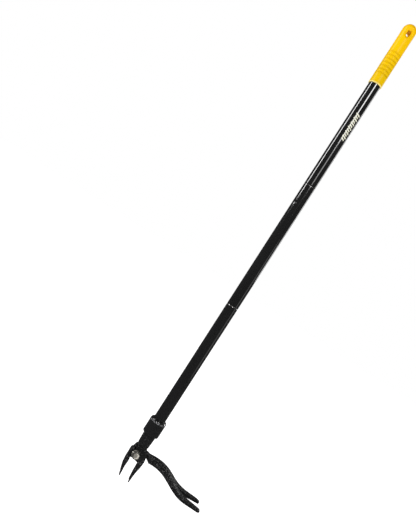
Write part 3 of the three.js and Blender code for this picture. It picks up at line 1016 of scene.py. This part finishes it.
def make_bolt(head_face, nut_low, end):
    """The bolt, its thread showing past the lock nut. Its head has a shallow recess in its face."""
    thread_start = nut_low + 4.0
    chamfer = end - 0.6
    crest = 0.12
    shank = [(0, head_face - 0.5), (BOLT_R, head_face - 0.5), (BOLT_R, thread_start)]
    turn = thread_start
    while turn + THREAD_PITCH < chamfer:
        shank += [(BOLT_R, turn + crest), (THREAD_ROOT_R, turn + THREAD_PITCH / 2),
                  (BOLT_R, turn + THREAD_PITCH - crest)]
        turn += THREAD_PITCH
    shank += [(3.9, chamfer), (3.3, end), (0, end)]
    top, floor = head_face - 5.3, head_face - 5.18
    recess = turned_y([(0, top - 0.1), (3.9, top - 0.1), (4.2, floor), (0, floor)], 64)
    parts = [hexagon(top, head_face, True, False), turned_y(shank, 64)]
    # Painted shade darkens the bolt head outside a small spot just off the pin's centre.
    paint = zinc_plate("bolt_zinc", 0.0, (PIVOT.x + 1.9, PIVOT.z))
    bolt = to_object(moved(merge(parts), PIVOT), "bolt_hex", paint)
    cut(bolt, [moved(recess, PIVOT)])
    sharp_shading(bolt, 28)
    show(bolt, "handle", "zinc_steel", "pivot_bolt")


def make_nut(low, zinc, nylon_blue):
    """A lock nut: hexagon, turned crown and the nylon ring inside it."""
    bore, edge = BOLT_R + 0.3, 1.0
    shoulder, seat = low + 7.0, low + 5.6
    crown = [(bore, low + 1.0), (6.1, low + 1.0), (6.1, shoulder)]
    crown += corner((5.1, shoulder), edge, 0, 80, 8)[1:]
    crown += [(4.9, low + 7.9), (4.9, seat), (bore, seat), (bore, low + 1.0)]
    nut = to_object(moved(hexagon(low, low + 6.0, True, True), PIVOT), "nut_hex", zinc)
    cut(nut, [moved(drum(BOLT_R + 0.25, low - 1, low + 9), PIVOT)])
    collar = to_object(moved(turned_y(crown, 96), PIVOT), "nut_collar", zinc)
    sharp_shading(nut, 28)
    sharp_shading(collar, 40)
    show(nut, "handle", "zinc_steel", "lock_nut")
    show(collar, "handle", "zinc_steel")
    inner, outer = BOLT_R + 0.15, 4.8
    bottom = (inner, low + 5.7)
    ring = [bottom, (outer, low + 5.7), (outer, low + 7.5), (inner, low + 7.3), bottom]
    insert = to_object(moved(turned_y(ring, 64), PIVOT), "nut_insert", nylon_blue)
    show(insert, "handle", "nylon", "lock_nut_ring")


def make_hardware(zinc, nylon_blue):
    """The bolt runs along Y: head and washer at the tongue's back, washer and nut at the cheek's front."""
    head_washer = TONGUE_BACK - GAP
    nut_washer = CHEEK_FRONT + GAP
    head_face = head_washer - WASHER_THICK - GAP
    nut_low = nut_washer + WASHER_THICK + GAP
    stained = zinc_plate("stained_zinc", 0.75)
    make_washer("washer_head_side", head_washer - WASHER_THICK, stained, "washer_bolt_head")
    make_washer("washer_nut_side", nut_washer, stained, "washer_nut")
    make_bolt(head_face, nut_low, nut_low + 9.4)
    make_nut(nut_low, zinc, nylon_blue)


# ---- Floor, light and world ----
def make_stage():
    """A plain pale floor just under the tool, hidden from reflections."""
    bm = bmesh.new()
    bmesh.ops.create_circle(bm, cap_ends=True, segments=96, radius=FLOOR_R)
    mesh = bpy.data.meshes.new("floor")
    bm.to_mesh(mesh)
    bm.free()
    floor = bpy.data.objects.new("floor", mesh)
    bpy.context.scene.collection.objects.link(floor)
    floor.location.z = CAD_BOX[0].z - FLOOR_DROP
    floor.visible_glossy = False
    s = Shader("pale_floor")
    tone = s.ramp(s.noise(3.0, 3.0), 0.3, 0.7, 0.86, 0.90)
    colour = s.node("ShaderNodeCombineColor", {0: tone, 1: tone, 2: tone}).outputs[0]
    s.finish(Base_Color=colour, Roughness=0.9, Emission_Color=(1, 1, 1, 1), Emission_Strength=FLOOR_GLOW)
    mesh.materials.append(s.material)


def strip(name, azimuth, height, distance, size, power, only=()):
    """A soft box facing the pole.

    Azimuth is in degrees round the pole from the front, height and distance in metres, size its width and
    height, power in watts. It lights only some pieces where they are given.
    """
    data = bpy.data.lights.new(name, "AREA")
    data.shape = "RECTANGLE"
    data.size, data.size_y = size
    data.energy = power
    light = bpy.data.objects.new(name, data)
    bpy.context.scene.collection.objects.link(light)
    angle = math.radians(azimuth)
    light.location = (distance * math.sin(angle), -distance * math.cos(angle), height)
    away = Vector((light.location.x, light.location.y, 0))
    light.rotation_mode = "QUATERNION"
    light.rotation_quaternion = away.to_track_quat("Z", "Y")
    if only:
        lit = bpy.data.collections.new(name + "_lights")
        for piece in only:
            lit.objects.link(piece)
        light.light_linking.receiver_collection = lit


def make_light(head, bolt):
    """Studio strips for the streaks on the pole, small boxes for the head and bolt, and a white surround."""
    strip("front_strip", 11, 0.86, 2.0, (0.6, 1.0), 25)
    strip("low_strip", 11, 0.20, 2.0, (0.6, 0.26), 1.6)
    strip("left_strip", -86, 0.70, 2.0, (0.4, 1.4), 25)
    strip("right_box", 70, -0.70, 2.2, (0.5, 0.9), 1.2)
    strip("back_box", 128, 0.2, 2.4, (1.2, 1.4), 14)
    strip("head_key", -22, -0.70, 1.2, (0.16, 0.10), 1.7, head)
    strip("head_side", 112, -0.60, 1.2, (0.16, 0.4), 4, head)
    strip("bolt_key", -45, -0.80, 1.2, (0.2, 0.2), 9, bolt)
    world = bpy.data.worlds.new("soft_studio")
    bpy.context.scene.world = world
    world.use_nodes = True
    nodes, links = world.node_tree.nodes, world.node_tree.links
    soft = nodes["Background"]
    soft.inputs["Color"].default_value = (1, 1, 1, 1)
    soft.inputs["Strength"].default_value = SOFT_FILL
    plain = nodes.new("ShaderNodeBackground")
    plain.inputs["Color"].default_value = (1, 1, 1, 1)
    plain.inputs["Strength"].default_value = SEEN_WHITE
    path = nodes.new("ShaderNodeLightPath")
    mix = nodes.new("ShaderNodeMixShader")
    links.new(path.outputs["Is Camera Ray"], mix.inputs["Fac"])
    links.new(soft.outputs[0], mix.inputs[1])
    links.new(plain.outputs[0], mix.inputs[2])
    links.new(mix.outputs[0], nodes["World Output"].inputs["Surface"])
    bpy.context.scene.view_settings.view_transform = "Standard"


# ---- The scene ----
make_camera()
gloss = gloss_paint()
zinc = zinc_plate()
steel = machined_steel()
blue = nylon()
for node in frame["nodes"].values():
    node.data.materials.clear()
    node.data.materials.append(steel)

crimps_middle = [(UPPER_CRIMPS, -130), (UPPER_CRIMPS, 50)]
crimps_lower = [(LOWER_CRIMPS, -110), (LOWER_CRIMPS, 70)]
make_grip(yellow_plastic())
make_tube("tube_top", UPPER_JOINT + GAP, GRIP_BORE_TOP, [], gloss, "pole_top")
make_tube("tube_middle", LOWER_JOINT + GAP, UPPER_JOINT - FLANGE - GAP, crimps_middle, gloss, "pole_middle")
make_tube("tube_lower", POLE_END, LOWER_JOINT - FLANGE - GAP, crimps_lower, gloss, "pole_lower")
make_joint_ring("joint_ring_upper", UPPER_JOINT, steel)
make_joint_ring("joint_ring_lower", LOWER_JOINT, steel)
make_print(white_ink())
make_ferrule(gloss_paint("ferrule_coat", FERRULE_GLINTS))
make_set_screw(steel)
make_head(cast_paint("head_black_paint", 0.12, 0.5))
make_lever(cast_paint("lever_black_paint", 1.0, 0.24))
make_hardware(zinc, blue)
make_stage()
pieces = bpy.data.objects
make_light([pieces["head_cast"], pieces["lever_cast"], pieces["ferrule_collar"]],
           [pieces["bolt_hex"], pieces["washer_head_side"]])
